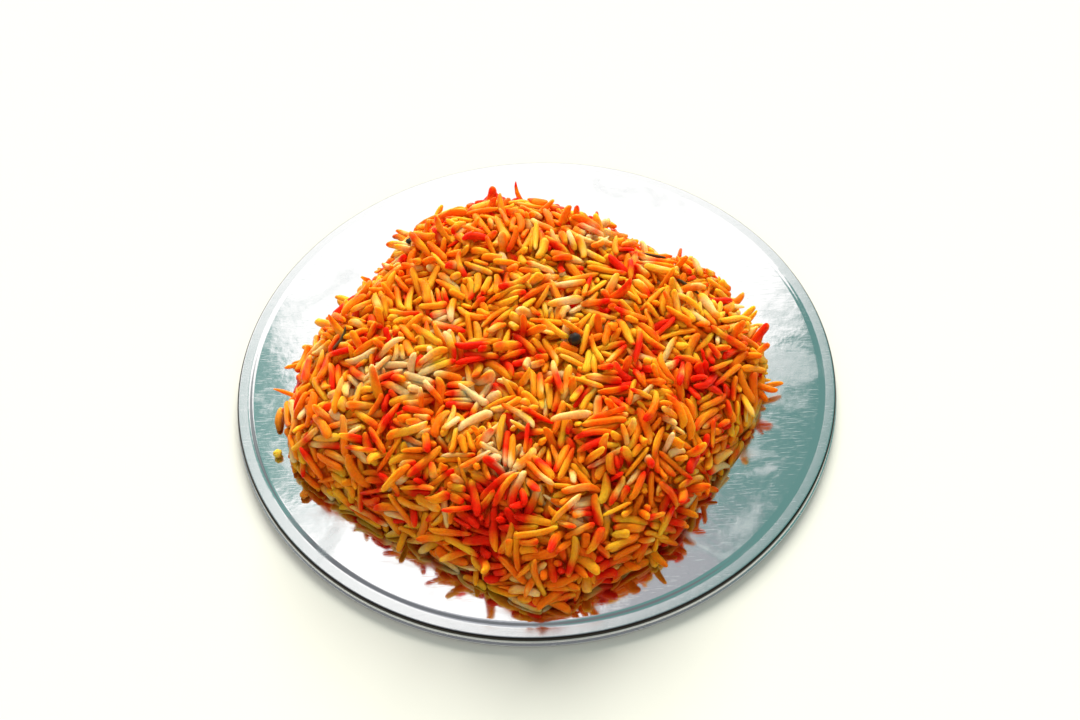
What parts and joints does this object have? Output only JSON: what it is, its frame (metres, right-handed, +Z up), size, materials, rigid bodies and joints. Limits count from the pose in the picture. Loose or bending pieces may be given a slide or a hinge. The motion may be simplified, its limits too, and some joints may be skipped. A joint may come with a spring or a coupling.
{
  "type": "plate of basmati rice",
  "caption": "Spiced basmati rice in orange, red and yellow, heaped in a low rounded square on a flat round polished steel plate.",
  "frame": {"origin": "point of the table under the plate's middle", "axes": "+Z up out of the plate; -Y is the side nearest the viewer, +X to the viewer's right"},
  "size_m": [0.2, 0.2, 0.0371],
  "materials": {
    "rice": "moist cooked grains dyed orange, yellow, red and cream",
    "plate": "polished stainless steel with fine scratches and smears"
  },
  "bodies": {
    "root": {"plate": "plate", "rice_heap": "rice", "loose_grain": "rice", "crumb_left": "rice", "crumb_front": "rice"}
  },
  "joints": []
}
